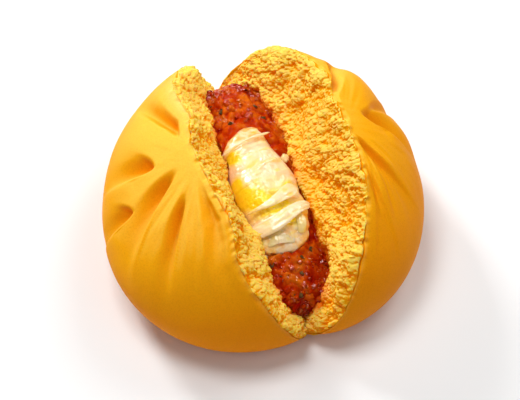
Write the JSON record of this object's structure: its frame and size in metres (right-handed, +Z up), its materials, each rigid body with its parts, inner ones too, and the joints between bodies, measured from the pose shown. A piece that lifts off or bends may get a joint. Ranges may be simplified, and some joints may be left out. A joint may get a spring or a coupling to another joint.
{
  "type": "pizza steamed bun",
  "caption": "Round pleated steamed bun torn open from the crown, showing crumbly dough, tomato sauce and stretchy melted cheese.",
  "frame": {"origin": "centre of the base's bounding box, on the surface the bun stands on", "axes": "+Z up, +Y along the tear towards its far end, -X the side of the left half"},
  "size_m": [0.0958, 0.0958, 0.0469],
  "materials": {
    "dough": "golden steamed dough: satin skin outside, rough open crumb on the torn faces",
    "sauce": "wet lumpy tomato sauce with dark herb flecks",
    "cheese": "glossy melted cheese, cream to pale yellow, with drawn-out strands"
  },
  "bodies": {
    "root": {"dough": "dough", "sauce": "sauce", "cheese": "cheese"}
  },
  "joints": []
}
